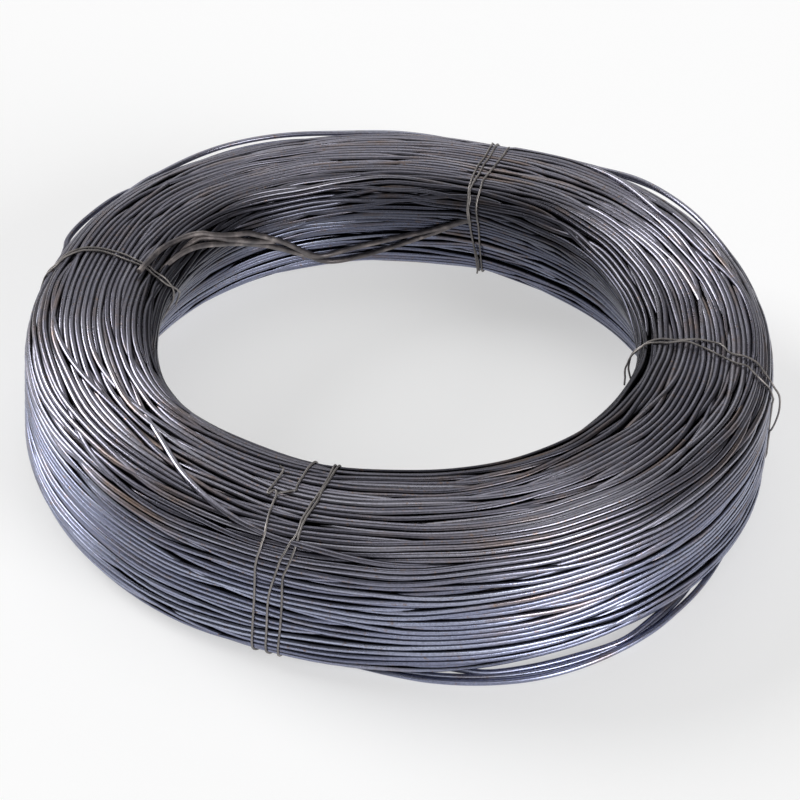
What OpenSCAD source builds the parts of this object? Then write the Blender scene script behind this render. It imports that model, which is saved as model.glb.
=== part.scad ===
// Coil of wire rod: one long round wire laid up in turns, tied at four places.
// Millimetres. +Z is up along the eye, and the origin is on the floor at the coil's centre.

/* [Wire] */
// Diameter of the wire
wire_d = 5; // [4:0.1:7]
// How far neighbouring turns press into each other
turn_bite = 0.15; // [0.05:0.05:0.3]
// How much the lowest turns are bedded flat on the floor
floor_flat = 0.2; // [0.1:0.05:0.4]

/* [Coil] */
// Outside diameter at the foot, to the corner of the bundle
coil_d = 634; // [600:1:720]
// How far the outer wall leans in from the foot to the top
outer_lean = 7; // [0:1:20]
// Width of the bundle at the top, from corner to corner
bundle_top_w = 121; // [100:1:140]
// Width of the bundle at the foot, from corner to corner
bundle_foot_w = 77; // [65:1:100]
// Height of the coil
coil_h = 122; // [105:1:170]
// Radius of the outer top shoulder of the bundle
outer_top_r = 30; // [18:1:36]
// Radius of the inner top shoulder of the bundle
inner_top_r = 22; // [14:1:28]
// Radius of the outer bottom shoulder of the bundle
outer_foot_r = 20; // [14:1:26]
// Radius of the inner bottom shoulder of the bundle
inner_foot_r = 16; // [12:1:22]

/* [Free ends] */
// Gap between a free end and the turns that it lies against
end_gap = 0.3; // [0.2:0.1:0.6]
// Gap between the two free ends, up the eye wall
end_spread = 6.5; // [4:0.5:10]
// Angle round the coil where both free ends leave the eye wall
end_root_angle = 81; // [79:1:84]
// Angle where the short free end is cut off
short_end_angle = 127; // [116:1:132]
// Angle where the long free end is cut off, past the left tie
long_end_angle = 173; // [171:1:180]

/* [Tie wires] */
// Diameter of the tie wire
tie_d = 1.8; // [1.2:0.1:3]
// Gap between a tie and the turns under it
tie_gap = 0.3; // [0.2:0.1:0.6]
// Radius of the hook at each end of a tie
hook_r = 4; // [3:0.5:6]
// Angle of the front tie round the coil
front_angle = -107; // [-120:1:-95]
// Distance between the wraps of the front tie
front_pitch = 10; // [4:0.5:14]
// Angle of the right tie round the coil
right_angle = -7; // [-20:1:10]
// Distance between the wraps of the right tie
right_pitch = 6; // [4:0.5:14]
// Angle of the back tie round the coil
back_angle = 73; // [60:1:74]
// Distance between the wraps of the back tie
back_pitch = 7; // [4:0.5:10]
// Angle of the left tie round the coil
left_angle = 166; // [162:1:167]
// Distance between the wraps of the left tie
left_pitch = 5; // [4:0.5:7]

/* [Hidden] */
$fn = 64;

wire_r = wire_d / 2;
tie_r = tie_d / 2;
coil_r = coil_d / 2;
coil_top_r = coil_r - outer_lean;
eye_top_r = coil_top_r - bundle_top_w;
eye_foot_r = coil_r - bundle_foot_w;
mid_r = (eye_top_r + coil_r) / 2;
wire_colour = "#5b5c66";
tie_colour = "#4a4542";

// Wraps that each tie makes round the bundle
front_wraps = 3;
right_wraps = 2;
back_wraps = 2;
left_wraps = 2;

// Sides of a swept wire, and the steps of a tie round each shoulder
wire_sides = 8;
tie_sides = 8;
bend_steps = 9;

// A rounded corner at b, on the way from a to c:
// [centre, radius, angle where its bend starts, angle that it turns through]
function facing(a, b) = atan2(a.x - b.x, b.y - a.y);
function shoulder(a, b, c, r) =
    let (start = facing(a, b), turn = (facing(b, c) - start + 360) % 360, mid = start + turn / 2)
    [b - r / cos(turn / 2) * [cos(mid), sin(mid)], r, start, turn];

// A rounded section with four corners, going round from the outer foot by way of the top
function section(corners, radii) = [
    for (k = [0 : 3]) shoulder(corners[(k + 3) % 4], corners[k], corners[(k + 1) % 4], radii[k])
];
function grown(frame, by) = [for (s = frame) [s[0], s[1] + by, s[2], s[3]]];

function on_bend(s, turned) = s[0] + s[1] * [cos(s[2] + turned), sin(s[2] + turned)];
function bend_start(s) = on_bend(s, 0);
function bend_end(s) = on_bend(s, s[3]);
function bend_length(s) = PI / 180 * s[3] * s[1];
function run_length(frame, k) = norm(bend_start(frame[(k + 1) % 4]) - bend_end(frame[k % 4]));
function frame_length(frame, k = 0) =
    k == 4 ? 0 : bend_length(frame[k]) + run_length(frame, k) + frame_length(frame, k + 1);

// The point at a distance along a section, from the start of its shoulder k
function on_frame(frame, distance, k = 0) =
    let (s = frame[k % 4], bend = bend_length(s), run = run_length(frame, k))
    distance <= bend ? on_bend(s, s[3] * distance / bend) :
    distance <= bend + run ?
        bend_end(s) + (distance - bend) / run * (bend_start(frame[(k + 1) % 4]) - bend_end(s)) :
    on_frame(frame, distance - bend - run, k + 1);

// A round wire of radius r along a path, with flat ends
function unit(v) = v / norm(v);
function heading(path, i) = unit(path[min(i + 1, len(path) - 1)] - path[max(i - 1, 0)]);
function across(v, t) = unit(v - (v * t) * t);

module swept_wire(path, r, sides) {
    last = len(path) - 1;
    start = heading(path, 0);
    side = across(abs(start.z) < 0.7 ? [0, 0, 1] : [0, 1, 0], start);
    normals = [for (i = 0, n = side; i <= last; i = i + 1, n = across(n, heading(path, min(i, last)))) n];
    points = [
        for (i = [0 : last])
            let (t = heading(path, i), n = normals[i], b = cross(t, n))
            for (k = [0 : sides - 1])
                path[i] + r * (cos(360 * k / sides) * n + sin(360 * k / sides) * b)
    ];
    polyhedron(points, concat(
        [[for (k = [0 : sides - 1]) k]],
        [
            for (i = [0 : last - 1], k = [0 : sides - 1])
                let (a = i * sides + k, b = i * sides + (k + 1) % sides)
                [a, a + sides, b + sides, b]
        ],
        [[for (k = [sides - 1 : -1 : 0]) last * sides + k]]
    ));
}

// Section of the bundle: its outer turns are whole circles round one core of the hidden turns
bundle = section(
    [
        [coil_r, -floor_flat],
        [coil_top_r, coil_h],
        [eye_top_r, coil_h],
        [eye_foot_r, -floor_flat]
    ],
    [outer_foot_r, outer_top_r, inner_top_r, inner_foot_r]);
lay = grown(bundle, -wire_r);
lay_length = frame_length(lay);
turns_shown = ceil(lay_length / (wire_d - turn_bite));
turn_centres = [for (i = [0 : turns_shown - 1]) on_frame(lay, i * lay_length / turns_shown)];

module bundle_section() {
    intersection() {
        union() {
            polygon(turn_centres);
            for (c = turn_centres) translate(c) circle(r = wire_r);
        }
        square([coil_r + wire_d, coil_h + wire_d]);
    }
}

// Where a tie passes under the coil the turns are pressed up out of its way
channel_depth = tie_d + 2 * tie_gap;
module tie_channel(angle, wraps, pitch) {
    width = wraps * pitch * coil_r / mid_r + 2 * tie_d;
    rotate([0, 0, angle])
        translate([eye_top_r, -width / 2, -wire_d])
            cube([coil_r - eye_top_r + wire_d, width, wire_d + channel_depth]);
}

module turns() {
    difference() {
        rotate_extrude() bundle_section();
        tie_channel(front_angle, front_wraps, front_pitch);
        tie_channel(right_angle, right_wraps, right_pitch);
        tie_channel(back_angle, back_wraps, back_pitch);
        tie_channel(left_angle, left_wraps, left_pitch);
    }
}

// The two free ends of the wire leave the eye wall side by side, dip and rise along it.
// The long one then climbs the inner top shoulder and lies over the left tie.
// Each table gives a value against the angle round the coil, and the lay is eased between its rows.
end_lie = wire_r + end_gap;
end_over_tie = end_lie + tie_d + tie_gap;
climb_angle = end_root_angle + 58;
// Share of the way up the straight of the eye wall
up_wall = [
    [end_root_angle, 0.8],
    [end_root_angle + 3, 0.68],
    [end_root_angle + 9, 0.46],
    [end_root_angle + 15, 0.25],
    [end_root_angle + 21, 0.15],
    [end_root_angle + 28.5, 0.09],
    [end_root_angle + 37, 0.42],
    [end_root_angle + 45, 0.68],
    [climb_angle, 1]
];
// Share of the way over the inner top shoulder
over_shoulder = [
    [climb_angle, 0],
    [climb_angle + 6, 0.29],
    [climb_angle + 12, 0.62],
    [climb_angle + 17, 0.75],
    [climb_angle + 23, 0.92],
    [climb_angle + 29, 1]
];
// Distance of the wire's middle off the face of the turns
off_turns = [
    [end_root_angle + 1, -wire_r],
    [end_root_angle + 6, end_lie],
    [left_angle - 10, end_lie],
    [left_angle - 6, end_over_tie]
];
ease_angle = 2.5;
function eased(angle, table) =
    let (before = lookup(angle - ease_angle, table), after = lookup(angle + ease_angle, table))
    (before + 2 * lookup(angle, table) + after) / 4;

wall_run = run_length(bundle, 2);
function end_point(angle, raise) =
    let (
        face = grown(bundle, eased(angle, off_turns)),
        up = eased(angle, up_wall) + raise / wall_run,
        over = eased(angle, over_shoulder),
        top = bend_end(face[2]),
        wall = top + (1 - up) * (bend_start(face[3]) - top),
        p = wall + on_bend(face[2], face[2][3] * (1 - over)) - top
    )
    [p.x * cos(angle), p.x * sin(angle), p.y];

module free_end(last_angle, raise) {
    steps = ceil((last_angle - end_root_angle) / 3);
    swept_wire(
        [
            for (i = [0 : steps])
                end_point(end_root_angle + (last_angle - end_root_angle) * i / steps, raise)
        ],
        wire_r, wire_sides);
}

module coil() {
    color(wire_colour) {
        turns();
        free_end(long_end_angle, 0);
        free_end(short_end_angle, wire_d + end_spread);
    }
}

// A tie: one thin wire wound round the bundle, with a hook at each end on top of the coil
tie_reach = tie_r + tie_gap;
tie_foot_z = tie_r + tie_gap;
tie_top_z = coil_h + tie_reach;
// Bend of a tie round a foot of the bundle, tightened so that it clears the turns above the channel
foot_raise = tie_foot_z + floor_flat + tie_reach;
function foot_bend(s) =
    let (r = s[1] + tie_reach, spread = tan(s[3] / 2))
    max(r - sqrt(foot_raise * (2 * r - foot_raise)) / spread, 2 * tie_d);
// Radius of a leaning wall at a height, moved out by the tie's reach
function wall_at(z, foot, top, side) =
    let (lean = (top - foot) / (coil_h + floor_flat))
    foot + lean * (z + floor_flat) + side * tie_reach * norm([1, lean]);
tie_frame = section(
    [
        [wall_at(tie_foot_z, coil_r, coil_top_r, 1), tie_foot_z],
        [wall_at(tie_top_z, coil_r, coil_top_r, 1), tie_top_z],
        [wall_at(tie_top_z, eye_foot_r, eye_top_r, -1), tie_top_z],
        [wall_at(tie_foot_z, eye_foot_r, eye_top_r, -1), tie_foot_z]
    ],
    [foot_bend(bundle[0]), outer_top_r + tie_reach, inner_top_r + tie_reach, foot_bend(bundle[3])]);
// The hooks meet half way along the flat top of the bundle
hook_at = (bend_end(tie_frame[1]).x + bend_start(tie_frame[2]).x) / 2;

// A point of a tie at radius r, and a distance along the turns measured at the middle of the bundle
function tie_point(r, along, z) = let (a = along / mid_r * 180 / PI) [r * cos(a), r * sin(a), z];

// A hook that turns back on itself, seen from above
function hook(along, side, way) = [
    for (a = [180 : -30 : 0])
        tie_point(hook_at - way * hook_r * sin(a), along + side * hook_r * (1 + cos(a)), tie_top_z)
];

function tie_path(wraps, pitch) =
    let (first = -wraps * pitch / 2)
    concat(
        [for (i = [6 : -1 : 0]) hook(first, -1, -1)[i]],
        [
            for (m = [0 : 4 * wraps - 1], j = [0 : bend_steps])
                let (s = tie_frame[(m + 2) % 4], p = on_bend(s, s[3] * j / bend_steps))
                tie_point(p.x, first + pitch * floor((m + 2) / 4), p.y)
        ],
        hook(first + wraps * pitch, 1, 1)
    );

module tie(angle, wraps, pitch) {
    color(tie_colour) rotate([0, 0, angle]) swept_wire(tie_path(wraps, pitch), tie_r, tie_sides);
}

module tie_front() { tie(front_angle, front_wraps, front_pitch); }
module tie_right() { tie(right_angle, right_wraps, right_pitch); }
module tie_back() { tie(back_angle, back_wraps, back_pitch); }
module tie_left() { tie(left_angle, left_wraps, left_pitch); }

coil();
tie_front();
tie_right();
tie_back();
tie_left();
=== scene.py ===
import math

import bpy
import numpy as np
from mathutils import Matrix, Vector


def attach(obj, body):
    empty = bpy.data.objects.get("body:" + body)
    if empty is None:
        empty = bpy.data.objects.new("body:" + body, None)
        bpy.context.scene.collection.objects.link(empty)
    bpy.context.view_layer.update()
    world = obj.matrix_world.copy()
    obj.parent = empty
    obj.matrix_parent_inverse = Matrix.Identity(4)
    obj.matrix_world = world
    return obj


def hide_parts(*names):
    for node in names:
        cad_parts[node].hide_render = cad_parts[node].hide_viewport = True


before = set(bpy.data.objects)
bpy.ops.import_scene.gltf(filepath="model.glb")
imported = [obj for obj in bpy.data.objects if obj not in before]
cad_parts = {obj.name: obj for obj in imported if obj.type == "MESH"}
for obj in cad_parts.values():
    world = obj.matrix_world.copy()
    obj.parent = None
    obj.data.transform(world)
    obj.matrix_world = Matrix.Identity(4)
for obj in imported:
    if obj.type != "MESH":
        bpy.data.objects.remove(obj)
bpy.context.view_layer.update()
rng = np.random.default_rng(8)

# Shape of the bundle in millimetres, as radius and height, from the outer foot round by the top
bundle = {
    "corners": [(317, 0), (310, 122), (189, 122), (240, 0)],
    "radii": [20, 30, 22, 16],
    "inset": 14,  # the face lies this far outside the inner outline
    "tieAngles": [-106.5, -8.5, 73.5, 168.5],
    "cinch": 3.2,  # how far a tie draws the turns in
    "cinchWidth": 11,
    "bulge": 0.35,  # share of the cinch by which the turns swell between ties
    "footLift": 2.5,  # room under the turns for a tie
    "footWidth": 4.5,
    "footHeight": 30,  # the outline below this is the foot
    "middle": (255, 60),
    "uneven": [  # corners that move, 0 outwards or 1 up, azimuth, width in degrees, distance
        ((0, 1), 0, 35, 24, 4),
        ((0,), 1, -62, 24, 4),
        ((1, 2), 1, 95, 38, -7),
        ((1,), 0, 112, 26, -5),
        ((2,), 0, -15, 55, -6),
        ((2,), 0, -95, 35, -3),
        ((2,), 0, 163, 15, -3),
        ((2,), 0, -144, 24, 12),
    ],
}
turns = {
    "rod": 5.0,
    "spacing": 5.7,
    "rows": 40,
    "rowSpan": (160, 340),  # radii between which a row can lie
    "rowRise": 0.866,  # height of a row as a share of the spacing
    "layAngle": 30,  # the bundle's section here is the one that the rows fill
    "stations": 144,
    "stationLength": 0.0115,  # metres of rod from one station to the next
    "wander": 6.5,
    "knots": 4,  # changes of direction in one turn
    "recess": 3.0,  # how unevenly the outer turns fill the face
    "recessByHeight": ([60, 108], [1.1, 0.35]),
    "drawByHeight": ([60, 108], [0.1, 0.2]),  # how strongly the outer turns are drawn up to the face
    "shownDepth": 15,
    "standsOff": 5,  # a strand this far off the face gets no painted shade on its flanks
    "endStations": 24,  # both ends of the lay dive into the bundle over these
    "endDepth": 24,
    "sides": 10,
}
settle = {
    "steps": 160,
    "shaped": 110,  # until here the turns keep to their goal
    "calm": 140,  # until here they are only smoothed a little, and after it kinks are eased
    "pairEvery": 8,
    "pairReach": 1.5,  # in rods
    "smooth": (0.22, 0.08),
    "toGoal": 0.03,
    "push": 0.4,
    "faceBand": 6,  # turns this near the face are held in by it
    "drawBand": 4,  # and these are drawn up to it
    "kink": (0.9, 0.6, 0.45, 0.8, (1, 2, 3)),  # bend where easing starts, its range, strength, spread, reach
    "lastSteps": 14,
    "lastKink": (0.45, 0.5, 0.4, 0.7, (1, 2)),
}


def facing(a, b):
    return math.atan2(a[0] - b[0], b[1] - a[1])


def insetOutline(corners, radii, inset, steps=4):
    points = []
    for k in range(4):
        a, b, c = corners[k - 1], corners[k], corners[(k + 1) % 4]
        start = facing(a, b)
        turn = (facing(b, c) - start) % (2 * math.pi)
        middle = start + turn / 2
        centre = np.array(b) - radii[k] / math.cos(turn / 2) * np.array([math.cos(middle), math.sin(middle)])
        for t in np.linspace(0, turn, steps):
            points.append(centre + (radii[k] - inset) * np.array([math.cos(start + t), math.sin(start + t)]))
    return np.array(points)


def angleFrom(azimuth, place):
    return (azimuth - place + 180) % 360 - 180


def coreAt(azimuth):  # inner outline of the bundle at each azimuth in degrees
    azimuth = np.atleast_1d(azimuth)
    outline = insetOutline(bundle["corners"], bundle["radii"], bundle["inset"])
    away = outline - outline.mean(0)
    away /= np.linalg.norm(away, axis=1)[:, None]
    drawn = sum(np.exp(-((angleFrom(azimuth, t) / bundle["cinchWidth"]) ** 2)) for t in bundle["tieAngles"])
    raised = sum(np.exp(-((angleFrom(azimuth, t) / bundle["footWidth"]) ** 4)) for t in bundle["tieAngles"])
    core = outline - away * (bundle["cinch"] * (drawn - bundle["bulge"]))[:, None, None]
    foot = outline[:, 1] < bundle["footHeight"]
    core[:, foot, 1] = outline[foot, 1] + (bundle["footLift"] * raised)[:, None]
    for corners, axis, place, width, by in bundle["uneven"]:
        moved = by * np.exp(-((angleFrom(azimuth, place) / width) ** 2))
        for corner in corners:
            core[:, 4 * corner : 4 * corner + 4, axis] += moved[:, None]
    return core


def depthIn(points, core):  # distance outside the inner outline, and the nearest place on it
    best = np.full(len(points), 1e9)
    near = np.zeros_like(points)
    inside = np.ones(len(points), bool)
    count = core.shape[1]
    for k in range(count):
        a, b = core[:, k], core[:, (k + 1) % count]
        e = b - a
        t = np.clip(((points - a) * e).sum(1) / (e * e).sum(1), 0, 1)
        q = a + t[:, None] * e
        d = np.hypot(points[:, 0] - q[:, 0], points[:, 1] - q[:, 1])
        inside &= e[:, 0] * (points[:, 1] - a[:, 1]) - e[:, 1] * (points[:, 0] - a[:, 0]) >= 0
        closer = d < best
        best = np.where(closer, d, best)
        near = np.where(closer[:, None], q, near)
    return np.where(inside, -best, best), near


def catmull(keys, count):
    keys = np.asarray(keys, float)
    t = np.linspace(0, len(keys) - 1, count)
    padded = np.concatenate([2 * keys[:1] - keys[1:2], keys, 2 * keys[-1:] - keys[-2:-1]])
    i = np.minimum(t.astype(int), len(keys) - 2)
    f = (t - i)[:, None]
    a, b, c, d = padded[i], padded[i + 1], padded[i + 2], padded[i + 3]
    return 0.5 * (2 * b + (c - a) * f + (2 * a - 5 * b + 4 * c - d) * f**2 + (3 * b - a - 3 * c + d) * f**3)


def toSpace(azimuth, points):  # radius and height at an azimuth, to metres in the frame
    a = np.radians(azimuth)
    return 0.001 * np.stack([points[:, 0] * np.cos(a), points[:, 0] * np.sin(a), points[:, 1]], 1)


# Lines on the bundle: a key is azimuth, radius and height, and for faceLine also the lift off the face


def faceLine(keys, reachOut, pitch):
    keys = np.array(keys, float)
    flat = toSpace(keys[:, 0], keys[:, 1:3]) * 1000
    length = np.linalg.norm(np.diff(flat, axis=0), axis=1).sum()
    dense = catmull(keys, max(int(length / pitch), 8))
    out, near = depthIn(dense[:, 1:3], coreAt(dense[:, 0]))
    away = (dense[:, 1:3] - near) / np.maximum(np.abs(out), 1e-6)[:, None] * np.sign(out)[:, None]
    face = near + away * (bundle["inset"] + reachOut + dense[:, 3])[:, None]
    return lineOf(dense[:, 0], face)


stray = {
    "tuck": [(9, 5), (18, 14), (28, 27)],  # degrees on from an end, and depth inwards there
    "heldWidth": 9,
    "most": 22,  # farthest that a strand stands off between ties
    "pitch": 5.0,
}


def freeLine(keys):  # its ends go into the bundle, and the ties hold it in
    keys = np.array(keys, float)
    middle = np.array(bundle["middle"])
    for end, before in ((0, 1), (-1, -2)):
        last = keys[end].copy()
        way = np.sign(last[0] - keys[before, 0])
        inward = (middle - last[1:]) / np.linalg.norm(middle - last[1:])
        for on, depth in stray["tuck"]:
            tucked = [last[0] + way * on, *(last[1:] + inward * depth)]
            keys = np.insert(keys, 0 if end == 0 else len(keys), tucked, 0)
    flat = toSpace(keys[:, 0], keys[:, 1:3]) * 1000
    length = np.linalg.norm(np.diff(flat, axis=0), axis=1).sum()
    dense = catmull(keys, max(int(length / stray["pitch"]), 8))
    out, near = depthIn(dense[:, 1:3], coreAt(dense[:, 0]))
    held = sum(np.exp(-((angleFrom(dense[:, 0], t) / stray["heldWidth"]) ** 2)) for t in bundle["tieAngles"])
    most = bundle["inset"] - turns["rod"] / 2 + stray["most"] * (1 - held)
    over = out > most
    dense[over, 1:3] = near[over] + (dense[over, 1:3] - near[over]) * (most / out)[over, None]
    return lineOf(dense[:, 0], dense[:, 1:3])


def outwardOf(azimuth, section, core):  # direction away from the bundle, and how far a strand stands off it
    out, near = depthIn(section, core)
    away = (section - near) / np.where(np.abs(out) < 1e-6, 1, out)[:, None]
    off = out - bundle["inset"] + turns["rod"] / 2
    return 1000 * toSpace(azimuth, away), np.clip(off / turns["standsOff"], 0, 1)


def lineOf(azimuth, section):
    points = toSpace(azimuth, section)
    outward, bare = outwardOf(azimuth, section, coreAt(azimuth))
    run = np.concatenate([[0], np.cumsum(np.linalg.norm(np.diff(points, axis=0), axis=1))])
    return {
        "points": points,
        "along": run,
        "tone": np.full(len(points), rng.uniform(0, 1)),
        "outward": outward,
        "bare": bare,
        "azimuth": azimuth,
        "section": section,
    }


# Strands that stray from the lay, with the gaps that they leave
strays = [
    [
        (-99, 300, 8), (-93, 303, 5), (-87.5, 308, 3.2), (-83.4, 313, 3), (-77, 319, 3), (-70.7, 323, 3),
        (-65.7, 324, 3), (-59, 323, 3), (-50.3, 320, 3), (-44.5, 317, 4), (-38.5, 315, 7),
        (-30, 311, 14), (-20, 307, 22),
    ],
    [
        (-84, 303, 10), (-79, 308, 7), (-75.2, 312, 5), (-69.1, 313, 4), (-62.7, 314, 4),
        (-54.9, 317, 5), (-48.7, 313, 7), (-42.2, 309, 9), (-35, 304, 12),
    ],
    [
        (-90, 303, 5), (-82, 309, 3), (-74, 315, 3), (-66, 318, 3), (-58, 318, 3), (-50, 315, 3),
        (-42, 310, 5), (-36, 305, 8),
    ],
    [
        (86, 303, 94), (80, 306, 96), (72, 310, 98), (64.6, 315, 100), (60, 319, 100), (54.8, 324, 100),
        (46.4, 331, 100), (38.2, 328, 100), (29.9, 320, 100), (22.6, 316, 100), (13, 311, 100),
        (0, 305, 101), (-14, 302, 98),
    ],
    [
        (76, 303, 98), (66, 309, 100), (57, 317, 103), (50, 324, 105), (44, 325, 105), (37, 322, 105),
        (29, 315, 106), (20, 309, 107), (8, 304, 106),
    ],
    [
        (60, 309, 92), (54, 318, 93), (47, 324, 94), (40, 323, 94), (32, 317, 94), (22, 311, 94),
        (12, 306, 93),
    ],
    [
        (74, 290, 112), (66, 294, 113), (58, 295, 116), (52, 291, 120), (48, 287, 122), (43, 283, 122),
        (37, 279, 122), (32, 279, 122), (26, 278, 122), (21, 280, 122), (15.6, 286, 121.5),
        (11, 291, 120), (5, 292, 119), (-1, 292, 118), (-8, 291, 117), (-18, 290, 116),
    ],
    [
        (170, 302, 102), (160, 306, 101), (150, 311, 99), (139.5, 317, 100), (135.5, 318, 100),
        (127.4, 323, 100), (121.2, 325, 100), (112.8, 323, 100), (102.4, 316, 100), (92, 314, 100),
        (83, 311, 98), (74, 304, 97),
    ],
    [
        (146, 309, 94), (136, 314, 95), (127, 318, 95), (120, 320, 95), (112, 318, 95), (103, 312, 94),
        (95, 306, 93),
    ],
    [
        (176, 300, 106), (168, 303, 104), (163.5, 308, 102), (161, 313, 101), (157.8, 316, 100),
        (153.4, 317, 100), (145.8, 317, 100), (139.5, 315, 97), (130, 310, 92), (122, 304, 88),
    ],
    [
        (-152, 240, 117), (-141, 250, 119), (-132.8, 261, 121), (-123.6, 279, 121.5),
        (-114.5, 293, 119.5), (-108.7, 297, 116.5), (-100, 300, 114), (-90, 303, 110),
    ],
    [
        (-182, 290, 117), (-172, 287, 119), (-162, 280, 120.5), (-148.7, 269, 121.5), (-139.5, 267, 121),
        (-127.6, 273, 120), (-117, 278, 118), (-105, 281, 116),
    ],
]
strayLines = [freeLine(keys) for keys in strays]
freeEnds = {
    "long": [
        (72, 208, 86, -8), (76.9, 204, 80, -1), (81.6, 208, 69, 0), (86.7, 213, 59, 0), (93.5, 218, 47, 0),
        (99.9, 222, 37, 0), (104.4, 224, 31, 0), (107.7, 226, 27, 0.5), (110.6, 226, 27, 1.2),
        (112.8, 224, 31, 1.5), (115.7, 221, 40, 1), (118.9, 216, 51, 1), (122.3, 211, 62, 0.5),
        (126.6, 206, 74, 0.5), (130.5, 202, 84, 0), (135.3, 198, 95, 0), (139.9, 198, 101, 0),
        (144.4, 198, 107, 0), (148.2, 201, 113, 0), (151, 205, 117.5, 0.3), (156.4, 211, 122, 0.5),
        (162.9, 218, 124, 1.4), (168, 221, 125, 2.2), (172.9, 225, 125, 1.5),
    ],
    "slack": [
        (72, 208, 84, -8), (77.4, 205, 76, -2), (81.6, 210, 65, 0), (86.7, 216, 51, 0), (91.5, 221, 38, 0),
        (96.6, 226, 26, 0), (101.2, 230, 18, 0), (104.8, 231, 13.5, 0), (107.7, 231, 13.5, 0),
        (110.3, 230, 18, 0), (113.1, 226, 27, 0), (116, 223, 35, 0), (119.1, 219, 43, 0),
        (122.3, 216, 52, 0), (127.4, 210, 65, 0), (133.4, 205, 78, 0), (140.3, 199, 92, 0),
        (149, 198, 106, 0), (154.7, 201, 113, -1), (160.5, 205, 117, -3), (168, 210, 120, -8),
    ],
    "cut": [
        (160, 206, 118, -8), (155, 205, 117, -5), (151.7, 203, 116, -3.5), (148, 200, 110, -1.5),
        (144, 198, 103, 0.5), (137.8, 199, 92, 1), (131.3, 204, 79, 1), (125.8, 208, 69, 0.7),
    ],
}
freeLines = [faceLine(keys, turns["rod"] / 2, stray["pitch"]) for keys in freeEnds.values()]

# Turns: one rod laid in rows from the foot up, with a wander, then settled over a fixed number of steps that
# push overlapping turns apart
rod = turns["rod"]
stations = turns["stations"]
stationAngle = np.arange(stations) * 360 / stations
stationCore = coreAt(stationAngle)
reach = bundle["inset"] - rod / 2
rows = []
for j in range(turns["rows"]):
    r = np.arange(*turns["rowSpan"], turns["spacing"]) + (j % 2) * turns["spacing"] / 2
    row = np.stack([r, np.full_like(r, rod / 2 + j * turns["spacing"] * turns["rowRise"])], 1)
    out, _ = depthIn(row, np.repeat(coreAt(turns["layAngle"]), len(row), 0))
    row = row[out < reach]
    rows.append(row if j % 2 == 0 else row[::-1])
laid = np.concatenate(rows)
count = len(laid)
share = np.arange(stations) / stations
following = np.concatenate([laid[1:], laid[-1:]])
path = (laid[:, None] * (1 - share)[None, :, None] + following[:, None] * share[None, :, None]).reshape(-1, 2)
path = path + catmull(rng.normal(0, turns["wander"], (count * turns["knots"], 2)), len(path))
goal = path.copy()
free = len(path)
for line in strayLines + freeLines:
    order = np.argsort(line["azimuth"])
    azimuth, section = line["azimuth"][order], line["section"][order]
    at = azimuth[0] + (stationAngle - azimuth[0]) % 360
    held = np.stack([np.interp(at, azimuth, section[:, c]) for c in range(2)], 1)
    held[at > azimuth[-1]] = (9000 + 50 * len(path) / stations, 0)  # far away where the line has ended
    path = np.concatenate([path, held])
station = np.tile(np.arange(stations), len(path) // stations)
loose = (np.arange(len(path)) < free).astype(float)
recess = catmull(rng.normal(0, turns["recess"], (count * turns["knots"], 1)), free)[:, 0]
recess *= np.interp(goal[:, 1], *turns["recessByHeight"])
limit = reach - np.maximum(recess, 0)
draw = np.interp(goal[:, 1], *turns["drawByHeight"])


def sharpness(bend, start, span, strength, fade, reach):  # where a rod is kinked, and near it
    sharp = np.clip((np.hypot(bend[:, 0], bend[:, 1]) - start) / span, 0, 1)
    for shift in reach:
        sharp[shift:] = np.maximum(sharp[shift:], fade * sharp[:-shift])
        sharp[:-shift] = np.maximum(sharp[:-shift], fade * sharp[shift:])
    return strength * sharp[:, None]


for step in range(settle["steps"]):
    if step % settle["pairEvery"] == 0:
        first, second = [], []
        for s in range(stations):
            x, y = path[s::stations, 0], path[s::stations, 1]
            close = (x[:, None] - x) ** 2 + (y[:, None] - y) ** 2 < (settle["pairReach"] * rod) ** 2
            i, j = np.nonzero(np.triu(close, 1))
            first.append(i * stations + s)
            second.append(j * stations + s)
        first, second = np.concatenate(first), np.concatenate(second)
        moving = loose[first] + loose[second] > 0
        first, second = first[moving], second[moving]
        out, _ = depthIn(path[:free], stationCore[station[:free]])
        outer = np.nonzero(out > limit - settle["faceBand"])[0]
    bend = path[: free - 2] + path[2:free] - 2 * path[1 : free - 1]
    if step < settle["shaped"]:
        path[1 : free - 1] += settle["smooth"][0] * bend
        path[:free] += settle["toGoal"] * (1 - step / settle["shaped"]) * (goal - path[:free])
    elif step < settle["calm"]:
        path[1 : free - 1] += settle["smooth"][1] * bend
    else:  # kinks that are left are eased out
        path[1 : free - 1] += sharpness(bend, *settle["kink"]) * bend
    for again in range(2):
        gap = path[first] - path[second]
        length = np.hypot(gap[:, 0], gap[:, 1]) + 1e-9
        gap *= (np.maximum(rod - length, 0) * settle["push"] / length)[:, None]
        one = gap * (loose[first] * (2 - loose[second]))[:, None]
        two = gap * (loose[second] * (2 - loose[first]))[:, None]
        for c in range(2):
            path[:, c] += np.bincount(first, one[:, c], len(path)) - np.bincount(second, two[:, c], len(path))
        out, near = depthIn(path[outer], stationCore[station[outer]])
        over = out > limit[outer]
        at = outer[over]
        path[at] = near[over] + (path[at] - near[over]) * (limit[at] / out[over])[:, None]
        short = limit[outer] - out
        drawn = (short > 0) & (short < settle["drawBand"])
        at = outer[drawn]
        path[at] += (path[at] - near[drawn]) * (draw[at] * (short / out)[drawn])[:, None]
gap = path[first] - path[second]
print("turns laid", count, "closest", round(float(np.hypot(gap[:, 0], gap[:, 1]).min()), 2))
path, station = path[:free], station[:free]
for step in range(settle["lastSteps"]):  # the last kinks are drawn straight, rod by rod
    bend = path[:-2] + path[2:] - 2 * path[1:-1]
    path[1:-1] += sharpness(bend, *settle["lastKink"]) * bend
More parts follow.
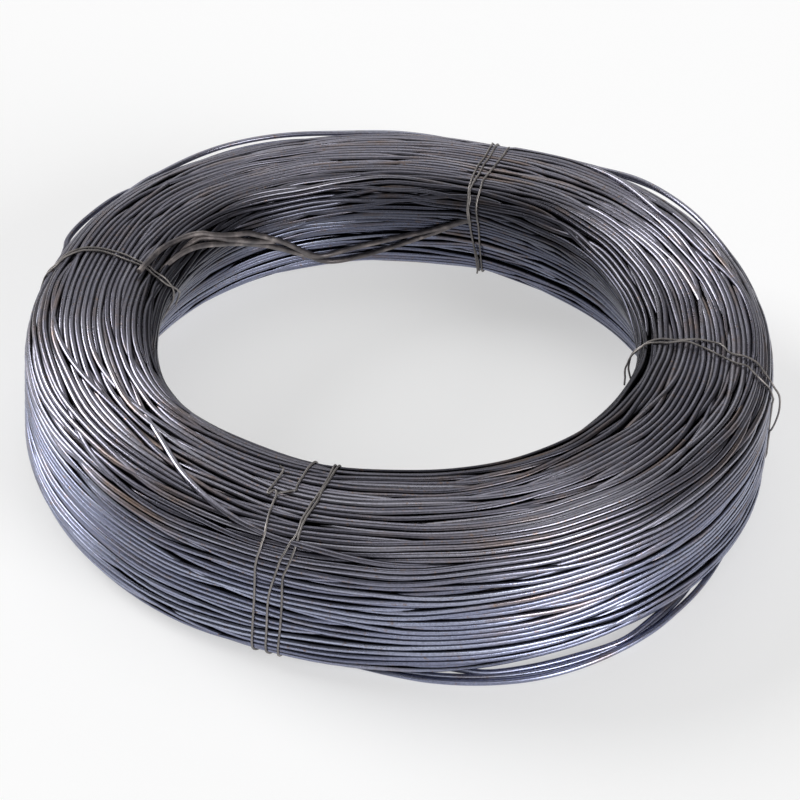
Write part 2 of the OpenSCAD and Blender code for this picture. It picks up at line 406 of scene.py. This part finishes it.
print("sharpest bend", round(float(np.hypot(bend[:, 0], bend[:, 1]).max()), 2))
n = turns["endStations"]
dive = np.linspace(0, 1, n) ** 2 * turns["endDepth"]
for ends in (slice(n - 1, None, -1), slice(-n, None)):
    toward = np.array(bundle["middle"]) - path[ends]
    path[ends] += toward / np.linalg.norm(toward, axis=1)[:, None] * dive[:, None]

# Rods from lines, by a node tree that sweeps a round section along them


def sweepTree():
    tree = bpy.data.node_groups.new("sweptRod", "GeometryNodeTree")
    tree.interface.new_socket("Geometry", in_out="INPUT", socket_type="NodeSocketGeometry")
    tree.interface.new_socket("Radius", in_out="INPUT", socket_type="NodeSocketFloat")
    tree.interface.new_socket("Sides", in_out="INPUT", socket_type="NodeSocketInt")
    tree.interface.new_socket("Material", in_out="INPUT", socket_type="NodeSocketMaterial")
    tree.interface.new_socket("Geometry", in_out="OUTPUT", socket_type="NodeSocketGeometry")
    made = {}
    for name, kind in [
        ("start", "NodeGroupInput"),
        ("curve", "GeometryNodeMeshToCurve"),
        ("circle", "GeometryNodeCurvePrimitiveCircle"),
        ("sweep", "GeometryNodeCurveToMesh"),
        ("smooth", "GeometryNodeSetShadeSmooth"),
        ("realize", "GeometryNodeRealizeInstances"),
        ("paint", "GeometryNodeSetMaterial"),
        ("end", "NodeGroupOutput"),
    ]:
        made[name] = tree.nodes.new(kind)
    made["sweep"].inputs["Fill Caps"].default_value = True
    join = tree.links.new
    join(made["start"].outputs["Geometry"], made["curve"].inputs["Mesh"])
    join(made["curve"].outputs["Curve"], made["sweep"].inputs["Curve"])
    join(made["start"].outputs["Radius"], made["circle"].inputs["Radius"])
    join(made["start"].outputs["Sides"], made["circle"].inputs["Resolution"])
    join(made["circle"].outputs["Curve"], made["sweep"].inputs["Profile Curve"])
    join(made["sweep"].outputs["Mesh"], made["smooth"].inputs["Geometry"])
    join(made["smooth"].outputs["Geometry"], made["realize"].inputs["Geometry"])
    join(made["realize"].outputs["Geometry"], made["paint"].inputs["Geometry"])
    join(made["start"].outputs["Material"], made["paint"].inputs["Material"])
    join(made["paint"].outputs["Geometry"], made["end"].inputs["Geometry"])
    return tree


rodTree = sweepTree()


def sweptRods(name, lines, radius, sides, material, node):
    points = np.concatenate([line["points"] for line in lines])
    edges, start = [], 0
    for line in lines:
        n = len(line["points"])
        edges.append(np.stack([np.arange(n - 1), np.arange(1, n)], 1) + start)
        start += n
    mesh = bpy.data.meshes.new(name)
    mesh.from_pydata(points.tolist(), np.concatenate(edges).tolist(), [])
    for key in ("along", "tone", "bare"):
        mesh.attributes.new(key, "FLOAT", "POINT").data.foreach_set(
            "value", np.concatenate([line[key] for line in lines]).astype(np.float32)
        )
    mesh.attributes.new("outward", "FLOAT_VECTOR", "POINT").data.foreach_set(
        "vector", np.concatenate([line["outward"] for line in lines]).astype(np.float32).ravel()
    )
    obj = bpy.data.objects.new(name, mesh)
    bpy.context.scene.collection.objects.link(obj)
    modifier = obj.modifiers.new("sweep", "NODES")
    modifier.node_group = rodTree
    given = {"Radius": radius, "Sides": sides, "Material": material}
    for socket in rodTree.interface.items_tree:
        if socket.in_out == "INPUT" and socket.name in given:
            modifier[socket.identifier] = given[socket.name]
    depsgraph = bpy.context.evaluated_depsgraph_get()
    solid = bpy.data.meshes.new_from_object(
        obj.evaluated_get(depsgraph), preserve_all_data_layers=True, depsgraph=depsgraph
    )
    obj.modifiers.clear()
    obj.data = solid
    solid.calc_loop_triangles()
    corners = np.zeros(len(solid.vertices) * 3, np.float32)
    solid.vertices.foreach_get("co", corners)
    triangles = np.zeros(len(solid.loop_triangles) * 3, np.int32)
    solid.loop_triangles.foreach_get("vertices", triangles)
    a, b, c = corners.reshape(-1, 3)[triangles.reshape(-1, 3).T]
    if np.einsum("ij,ij->i", a, np.cross(b, c)).sum() < 0:
        solid.flip_normals()
    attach(obj, "root")
    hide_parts(node)
    print(name, len(lines), "lines", len(solid.loop_triangles), "triangles")
    return obj


# Materials


def newMaterial(name):
    material = bpy.data.materials.new(name)
    material.use_nodes = True
    nodes, links = material.node_tree.nodes, material.node_tree.links
    return material, nodes, links, nodes["Principled BSDF"]


def attribute(nodes, name):
    node = nodes.new("ShaderNodeAttribute")
    node.attribute_name = name
    return node.outputs


def noise(nodes, links, vector, scale, detail=3, roughness=0.55):
    node = nodes.new("ShaderNodeTexNoise")
    node.inputs["Scale"].default_value = scale
    node.inputs["Detail"].default_value = detail
    node.inputs["Roughness"].default_value = roughness
    links.new(vector, node.inputs["Vector"])
    return node.outputs["Fac"]


def ramp(nodes, links, value, stops):
    node = nodes.new("ShaderNodeValToRGB")
    elements = node.color_ramp.elements
    while len(elements) < len(stops):
        elements.new(0.5)
    for element, (place, colour) in zip(elements, stops):
        element.position = place
        element.color = (*colour, 1)
    links.new(value, node.inputs["Fac"])
    return node.outputs["Color"]


def blend(nodes, links, share, one, two, kind="MIX"):
    node = nodes.new("ShaderNodeMix")
    node.data_type = "RGBA"
    node.blend_type = kind
    for socket, value in (
        (node.inputs["Factor"], share),
        (node.inputs[6], one),
        (node.inputs[7], two),
    ):
        if isinstance(value, bpy.types.NodeSocket):
            links.new(value, socket)
        else:
            socket.default_value = value
    return node.outputs[2]


def spread(nodes, links, value, low, high, start=0.0, end=1.0):
    node = nodes.new("ShaderNodeMapRange")
    node.inputs["From Min"].default_value = low
    node.inputs["From Max"].default_value = high
    node.inputs["To Min"].default_value = start
    node.inputs["To Max"].default_value = end
    links.new(value, node.inputs["Value"])
    return node.outputs["Result"]


def maths(nodes, links, kind, one, two):
    node = nodes.new("ShaderNodeMath")
    node.operation = kind
    links.new(one, node.inputs[0])
    links.new(two, node.inputs[1])
    return node.outputs["Value"]


def vectors(nodes, links, kind, one, two=None, result="Vector"):
    node = nodes.new("ShaderNodeVectorMath")
    node.operation = kind
    links.new(one, node.inputs[0])
    if isinstance(two, bpy.types.NodeSocket):
        links.new(two, node.inputs[1])
    elif two is not None:
        node.inputs[1].default_value = two
    return node.outputs[result]


rodFinish = {
    "wall": [(0.32, (0.154, 0.166, 0.246)), (0.5, (0.276, 0.295, 0.41)), (0.68, (0.42, 0.45, 0.58))],
    "top": [(0.32, (0.13, 0.127, 0.158)), (0.5, (0.235, 0.23, 0.278)), (0.68, (0.38, 0.375, 0.43))],
    "topFrom": (0.07, 0.115),  # metres up, from the wall's colours to the top's
    "rust": (0.26, 0.19, 0.15, 1),
    "rustFrom": (0.52, 0.7),
    "patchFrom": (0.4, 0.6),  # rust shows only in patches
    "fleck": (0.28, 0.195, 0.15, 1),
    "fleckFrom": (0.6, 0.7, 0.0, 0.75),
    "grain": (0.3, 0.7, 0.82, 1.18),
    "paintedGapShade": (0.3, 0.86, 0.03, 1.0),  # painted shade in the gaps: rise from a flank to the top of the rod, and the shades there
    "eye": (0.2, 0.24, 0.3, 1.0),  # painted shade on the wall of the eye: radii from it outwards, and the shades there
    "roughness": (0.3, 0.7, 0.22, 0.36),
    "bump": (0.08, 0.0005),
    "laneStep": (1, 40, 1),  # keeps the patterns of two rods apart
}


def rodSteel(name):
    material, nodes, links, shader = newMaterial(name)
    place = nodes.new("ShaderNodeTexCoord").outputs["Object"]
    lane = nodes.new("ShaderNodeCombineXYZ")
    links.new(attribute(nodes, "along")["Fac"], lane.inputs["X"])
    links.new(attribute(nodes, "tone")["Fac"], lane.inputs["Y"])
    lane = vectors(nodes, links, "MULTIPLY", lane.outputs["Vector"], rodFinish["laneStep"])
    height = nodes.new("ShaderNodeSeparateXYZ")
    links.new(place, height.inputs["Vector"])
    upper = spread(nodes, links, height.outputs["Z"], *rodFinish["topFrom"])
    shade = noise(nodes, links, lane, 3.0, 4)
    wall, top = ramp(nodes, links, shade, rodFinish["wall"]), ramp(nodes, links, shade, rodFinish["top"])
    colour = blend(nodes, links, upper, wall, top)
    rust = spread(nodes, links, noise(nodes, links, lane, 9.0, 5, 0.65), *rodFinish["rustFrom"])
    patch = spread(nodes, links, noise(nodes, links, place, 7.0, 3), *rodFinish["patchFrom"])
    colour = blend(nodes, links, maths(nodes, links, "MULTIPLY", rust, patch), colour, rodFinish["rust"])
    fleck = spread(nodes, links, noise(nodes, links, place, 260.0, 4, 0.6), *rodFinish["fleckFrom"])
    colour = blend(nodes, links, fleck, colour, rodFinish["fleck"])
    grain = spread(nodes, links, noise(nodes, links, place, 620.0, 2), *rodFinish["grain"])
    colour = blend(nodes, links, 1.0, colour, grain, "MULTIPLY")
    # Painted shade: the flanks in the gaps are darker than the top of each rod, but not on a strand that
    # stands off
    normal = nodes.new("ShaderNodeNewGeometry").outputs["Normal"]
    rise = vectors(nodes, links, "DOT_PRODUCT", normal, attribute(nodes, "outward")["Vector"], "Value")
    paintedGapShade = spread(nodes, links, rise, *rodFinish["paintedGapShade"])
    paintedGapShade = maths(nodes, links, "MAXIMUM", paintedGapShade, attribute(nodes, "bare")["Fac"])
    colour = blend(nodes, links, 1.0, colour, paintedGapShade, "MULTIPLY")
    # Painted shade: the wall of the eye is darker than the outside
    level = vectors(nodes, links, "MULTIPLY", place, (1, 1, 0))
    radius = vectors(nodes, links, "LENGTH", level, result="Value")
    eye = spread(nodes, links, radius, *rodFinish["eye"])
    colour = blend(nodes, links, 1.0, colour, eye, "MULTIPLY")
    links.new(colour, shader.inputs["Base Color"])
    shader.inputs["Metallic"].default_value = 1.0
    wear = noise(nodes, links, lane, 20.0, 3)
    links.new(spread(nodes, links, wear, *rodFinish["roughness"]), shader.inputs["Roughness"])
    bump = nodes.new("ShaderNodeBump")
    bump.inputs["Strength"].default_value, bump.inputs["Distance"].default_value = rodFinish["bump"]
    links.new(noise(nodes, links, place, 420.0, 3), bump.inputs["Height"])
    links.new(bump.outputs["Normal"], shader.inputs["Normal"])
    return material


tieFinish = {
    "stops": [(0.3, (0.14, 0.13, 0.127)), (0.6, (0.26, 0.24, 0.23)), (0.8, (0.42, 0.385, 0.36))],
    "metallic": 0.6,
    "roughness": 0.45,
}
endFinish = {
    "stops": [(0.35, (0.1, 0.092, 0.097)), (0.55, (0.21, 0.187, 0.185)), (0.7, (0.46, 0.41, 0.39))],
    "metallic": 0.88,
    "roughness": 0.45,
}


def dullSteel(name, finish):
    material, nodes, links, shader = newMaterial(name)
    place = nodes.new("ShaderNodeTexCoord").outputs["Object"]
    colour = ramp(nodes, links, noise(nodes, links, place, 60.0, 4), finish["stops"])
    links.new(colour, shader.inputs["Base Color"])
    shader.inputs["Metallic"].default_value = finish["metallic"]
    shader.inputs["Roughness"].default_value = finish["roughness"]
    return material


def matt(name, colour):
    material, nodes, links, shader = newMaterial(name)
    shader.inputs["Base Color"].default_value = (*colour, 1)
    shader.inputs["Roughness"].default_value = 1.0
    shader.inputs["Specular IOR Level"].default_value = 0.0
    return material, nodes, links, shader


rodLook = rodSteel("rod steel")
tieLook = dullSteel("tie steel", tieFinish)
endLook = dullSteel("rusty end steel", endFinish)
# The core is painted near black: it stands for the shade deep in the bundle
coreShadeLook = matt("painted shade between the turns", (0.012, 0.012, 0.014))[0]

# The turns that show, as lines
out, _ = depthIn(path, stationCore[station])
shown = out > reach - turns["shownDepth"]
for shift in (1, 2):
    shown[shift:] |= out[:-shift] > reach - turns["shownDepth"]
    shown[:-shift] |= out[shift:] > reach - turns["shownDepth"]
space = toSpace(stationAngle[station], path)
outward, bare = outwardOf(stationAngle[station], path, stationCore[station])
breaks = np.flatnonzero(np.diff(np.concatenate([[0], shown.astype(int), [0]])))
toneOfTurn = rng.uniform(0, 1, count)
lines = []
for a, b in zip(breaks[::2], breaks[1::2]):
    if b - a > 2:
        tone = np.full(b - a, toneOfTurn[a // stations])
        along = np.arange(a, b) * turns["stationLength"]
        line = {"points": space[a:b], "along": along, "tone": tone}
        lines.append(line | {"outward": outward[a:b], "bare": bare[a:b]})
total = sum(len(line["points"]) for line in lines)
pieceNames = ["turns_foot", "turns_lower", "turns_upper", "turns_top"]
pieces = [[] for _ in pieceNames]
seen = 0
for line in lines:
    pieces[min(seen * len(pieces) // total, len(pieces) - 1)].append(line)
    seen += len(line["points"])
for name, part in zip(pieceNames, pieces):
    sweptRods(name, part, rod / 2000, turns["sides"], rodLook, "coil")

# Plain core that closes the gaps between the turns, painted near black as the shade deep among the hidden
# turns
coreStations, coreShare = 96, 0.97
coreAngle = np.arange(coreStations) * 360 / coreStations
inner = coreAt(coreAngle)
middle = inner.mean(1, keepdims=True)
n = inner.shape[1]
sections = middle + (inner - middle) * coreShare
ring = np.concatenate([toSpace(np.full(n, a), p) for a, p in zip(coreAngle, sections)])
faces = []
for s in range(coreStations):
    for k in range(n):
        a, b = s * n + k, s * n + (k + 1) % n
        c, d = ((s + 1) % coreStations) * n + (k + 1) % n, ((s + 1) % coreStations) * n + k
        faces.append((a, d, c, b))
mesh = bpy.data.meshes.new("coil_core")
mesh.from_pydata(ring.tolist(), [], faces)
mesh.materials.append(coreShadeLook)
core = bpy.data.objects.new("coil_core", mesh)
bpy.context.scene.collection.objects.link(core)
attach(core, "root")
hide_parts("coil")

sweptRods("stray_strands", strayLines, rod / 2000, turns["sides"], rodLook, "coil")
sweptRods("free_ends", freeLines, rod / 2000, turns["sides"], endLook, "coil")

# Tie wires, laid on the face of the bundle
ties = {
    "tie_front": [
        (-109.4, 262, 126, 1), (-108.9, 257, 126, 1), (-108.2, 253, 125, 0), (-107.1, 249, 125, 0),
        (-107.3, 243, 125, 0), (-107.1, 230, 125, 0), (-107, 216, 124, 0), (-106.8, 198, 112, 0),
        (-106.6, 206, 75, 0), (-106.5, 220, 40, 0), (-106.4, 236, 4, 0), (-106.4, 275, -2, 0),
        (-106.4, 308, 0, 0), (-106.4, 317, 29, 0), (-106.2, 315, 69, 0), (-105.4, 313, 99, 0),
        (-104.5, 308, 115, 0), (-103.7, 295, 124, 0), (-103.6, 276, 125, 0), (-103.5, 262, 125, 0),
        (-103.0, 252, 125, 0), (-102.8, 239, 125, 0), (-102.6, 216, 124, 0), (-102.6, 198, 110, 0),
        (-102.2, 206, 75, 0), (-102.8, 220, 40, 0), (-103.5, 236, 4, 0), (-104.2, 275, -2, 0),
        (-104.8, 308, 0, 0), (-104.7, 317, 32, 0), (-104.4, 314, 81, 0), (-103.7, 313, 105, 0),
        (-103.3, 301, 122, 0), (-103.1, 281, 125, 0), (-103, 268, 125, 0), (-102.5, 253, 125, 0),
        (-102.2, 240, 125, 0), (-101.8, 217, 124, 0), (-101.9, 198, 110, 0), (-103.8, 206, 75, 0),
        (-105, 220, 40, 0), (-106, 236, 4, 0), (-107.5, 275, -2, 0), (-108.4, 308, 0, 0),
        (-108.4, 318, 25, 0), (-108.3, 315, 65, 0), (-108.2, 314, 98, 0), (-108.1, 309, 114, 0),
        (-108.1, 300, 122, 0), (-109, 275, 125, 0), (-109.5, 260, 125, 1.5), (-110.1, 257, 125, 1),
        (-110.8, 261, 125, 0), (-111, 258, 125, 0), (-111.1, 245, 125, 0), (-111.1, 233, 125, 1),
        (-111.7, 231, 125, 2),
    ],
    "tie_right": [
        (-9, 203, 84, 12), (-8.4, 200, 95, 7), (-7.2, 199, 109, 2), (-5.9, 209, 121, 0),
        (-5.6, 227, 125, 0), (-4.8, 244, 125, 0), (-5.4, 261, 125, 0), (-6.7, 266, 125, 1.8),
        (-7.6, 272, 125, 0), (-7.9, 289, 125, 0), (-9.2, 304, 120, 0), (-10.4, 311, 108, 1.5),
        (-10.2, 314, 98, 4), (-10, 315, 88, 6), (-10, 315, 77, 6), (-10.4, 316, 68, 4), (-11, 316, 62, 1.5),
        (-9.8, 317, 55, 0.3), (-8.5, 317, 40, 0), (-7.5, 316, 15, 0), (-8, 306, -1, 0), (-10, 275, -2, 0),
        (-8.5, 236, 4, 0), (-8, 220, 40, 0), (-8.2, 206, 75, 6), (-7.4, 199, 100, 4), (-6.6, 204, 117, 0),
        (-7, 218, 125, 0), (-6.3, 234, 125, 1.8), (-7.1, 250, 125, 0), (-8.7, 263, 125, 0),
        (-10.3, 277, 125, 0), (-10.5, 288, 125, 0), (-11.9, 298, 123, 0), (-11.7, 311, 110, 0),
        (-11, 315, 95, 0.5), (-9, 315, 80, 0), (-7, 316, 60, 0), (-6, 316, 40, 0), (-6, 316, 15, 0),
        (-6.5, 306, -1, 0), (-10.5, 275, -2, 0), (-9, 236, 4, 0), (-8.8, 222, 36, 0), (-8.6, 212, 60, 1),
    ],
    "tie_back": [
        (71.9, 290, 125, 1), (71.9, 273, 125, 0), (72.4, 249, 125, 0), (72.6, 221, 125, 0),
        (72.6, 205, 118, 0), (72.8, 198, 109, 0), (72.2, 201, 88, 0), (72, 213, 58, 0), (72.2, 231, 15, 0),
        (72.6, 245, -1, 0), (73.2, 275, -2, 0), (73.8, 306, -1, 0), (74, 316, 20, 0), (74.2, 315, 70, 0),
        (74.3, 311, 112, 0), (74.3, 295, 124, 0), (74.3, 268, 125, 0), (74.6, 249, 125, 0),
        (74.7, 223, 125, 0), (74.9, 204, 117, 0), (74.4, 197, 104, 0), (74.1, 202, 85, 0),
        (73.6, 214, 56, 0), (73.1, 228, 23, 0), (73.2, 240, 1, 0), (73.8, 275, -2, 0), (74.6, 306, -1, 0),
        (75, 316, 20, 0), (75.2, 315, 70, 0), (75.2, 311, 112, 0), (75.2, 295, 124, 0), (75.1, 265, 125, 0),
        (75.6, 244, 125, 0), (75.6, 225, 125, 0), (75.5, 207, 120, 0), (75.1, 198, 108, 0),
        (74.6, 199, 92, 0), (74.1, 208, 70, 0), (73.5, 221, 41, 1), (73.2, 232, 14, 3), (73.6, 238, 4, 3),
    ],
    "tie_left": [
        (163, 200, 66, 2), (164.5, 197, 85, 1), (171, 199, 112, 0), (171.5, 211, 122, 0),
        (169.6, 225, 125, 0), (167.9, 243, 125, 0), (166.9, 263, 125, 0), (167.1, 276, 125, 0),
        (168.4, 291, 125, 0), (169.6, 298, 123, 0), (172, 308, 116, 0), (173, 315, 80, 0),
        (172.5, 317, 30, 0), (171.5, 308, 0, 0), (170, 275, -2, 0), (168.5, 236, 4, 0), (168.3, 220, 40, 0),
        (168.8, 206, 75, 0), (170, 198, 108, 0), (170.4, 211, 122, 0), (168.5, 225, 125, 0),
        (166.9, 243, 125, 0), (166, 263, 125, 0), (166.3, 276, 125, 0), (167.6, 291, 125, 0),
        (169, 300, 122, 0), (171, 309, 114, 0), (171.8, 315, 80, 0), (171.5, 317, 30, 0),
        (170.5, 308, 0, 0), (169, 275, -2, 0), (167.5, 236, 4, 0),
    ],
}
tie = {
    "radius": 0.85,
    "off": 0.9,  # its middle lies this far off the face
    "pitch": 2.0,
    "wiggle": 0.45,  # how far it strays sideways
    "waves": 9,  # steps in one wave
    "sides": 8,
}
for name, keys in ties.items():
    wire = faceLine(keys, tie["off"], tie["pitch"])
    n = len(wire["points"])
    bends = catmull(rng.normal(0, tie["wiggle"], (max(n // tie["waves"], 3), 1)), n)
    a = np.radians(wire["azimuth"])
    wire["points"] += 0.001 * bends * np.stack([-np.sin(a), np.cos(a), 0 * a], 1)
    sweptRods(name + "_wire", [wire], tie["radius"] / 1000, tie["sides"], tieLook, name)

# Floor, light and camera
floor = {"half": 30.0, "colour": (0.96, 0.96, 0.96), "glow": 0.5}
sky = 0.12


def paleFloor():  # half of it shows white by itself, so the shadow on it stays light
    material, nodes, links, shader = matt("pale floor", floor["colour"])
    ray = nodes.new("ShaderNodeLightPath")
    seen = ray.outputs["Is Camera Ray"]
    for kind in ("Is Glossy Ray", "Is Transmission Ray"):
        seen = maths(nodes, links, "MAXIMUM", seen, ray.outputs[kind])
    glow = nodes.new("ShaderNodeEmission")
    mix = nodes.new("ShaderNodeMixShader")
    links.new(spread(nodes, links, seen, 0, 1, 0, floor["glow"]), mix.inputs["Fac"])
    links.new(shader.outputs["BSDF"], mix.inputs[1])
    links.new(glow.outputs["Emission"], mix.inputs[2])
    links.new(mix.outputs["Shader"], nodes["Material Output"].inputs["Surface"])
    return material


h = floor["half"]
mesh = bpy.data.meshes.new("floor")
mesh.from_pydata([(-h, -h, 0), (h, -h, 0), (h, h, 0), (-h, h, 0)], [], [(0, 1, 2, 3)])
mesh.materials.append(paleFloor())
ground = bpy.data.objects.new("floor", mesh)
bpy.context.scene.collection.objects.link(ground)

world = bpy.data.worlds.new("studio")
bpy.context.scene.world = world
world.use_nodes = True
world.node_tree.nodes["Background"].inputs["Color"].default_value = (1, 1, 1, 1)
world.node_tree.nodes["Background"].inputs["Strength"].default_value = sky
lights = {  # azimuth and height in degrees that the light comes from
    "rightFront": {"from": (322, 20), "angle": 34, "strength": 2.2},
    "leftBack": {"from": (151, 28), "angle": 36, "strength": 2.6},
    "back": {"from": (90, 22), "angle": 40, "strength": 0.25},
    "top": {"from": (90, 70), "angle": 45, "strength": 0.5},
    "front": {"from": (282, 30), "angle": 38, "strength": 0.32},
}
for name, light in lights.items():
    data = bpy.data.lights.new(name, "SUN")
    data.angle = math.radians(light["angle"])
    data.energy = light["strength"]
    lamp = bpy.data.objects.new(name, data)
    azimuth, up = (math.radians(v) for v in light["from"])
    way = Vector((math.cos(up) * math.cos(azimuth), math.cos(up) * math.sin(azimuth), math.sin(up)))
    lamp.rotation_euler = (-way).to_track_quat("-Z", "Y").to_euler()
    bpy.context.scene.collection.objects.link(lamp)

photo = {
    "height": 37.24,  # degrees above the floor
    "away": 1.873,
    "aim": (0, 0, 0.0594),
    "lens": 99.4,
    "sensor": 36,
    "below": 0.825,  # degrees that it looks below the aim
    "roll": 3.15,
}
e = math.radians(photo["height"])
aim = Vector(photo["aim"])
back = Vector((0, -math.cos(e), math.sin(e)))
camera = bpy.data.objects.new("camera", bpy.data.cameras.new("camera"))
camera.data.lens = photo["lens"]
camera.data.sensor_width = photo["sensor"]
camera.location = aim + back * photo["away"]
turned = (-back).to_track_quat("-Z", "Y").to_matrix()
turned = turned @ Matrix.Rotation(math.radians(photo["roll"]), 3, "Z")
turned = turned @ Matrix.Rotation(math.radians(-photo["below"]), 3, "X")
camera.rotation_euler = turned.to_euler()
bpy.context.scene.collection.objects.link(camera)
bpy.context.scene.camera = camera
bpy.context.scene.view_settings.view_transform = "Standard"
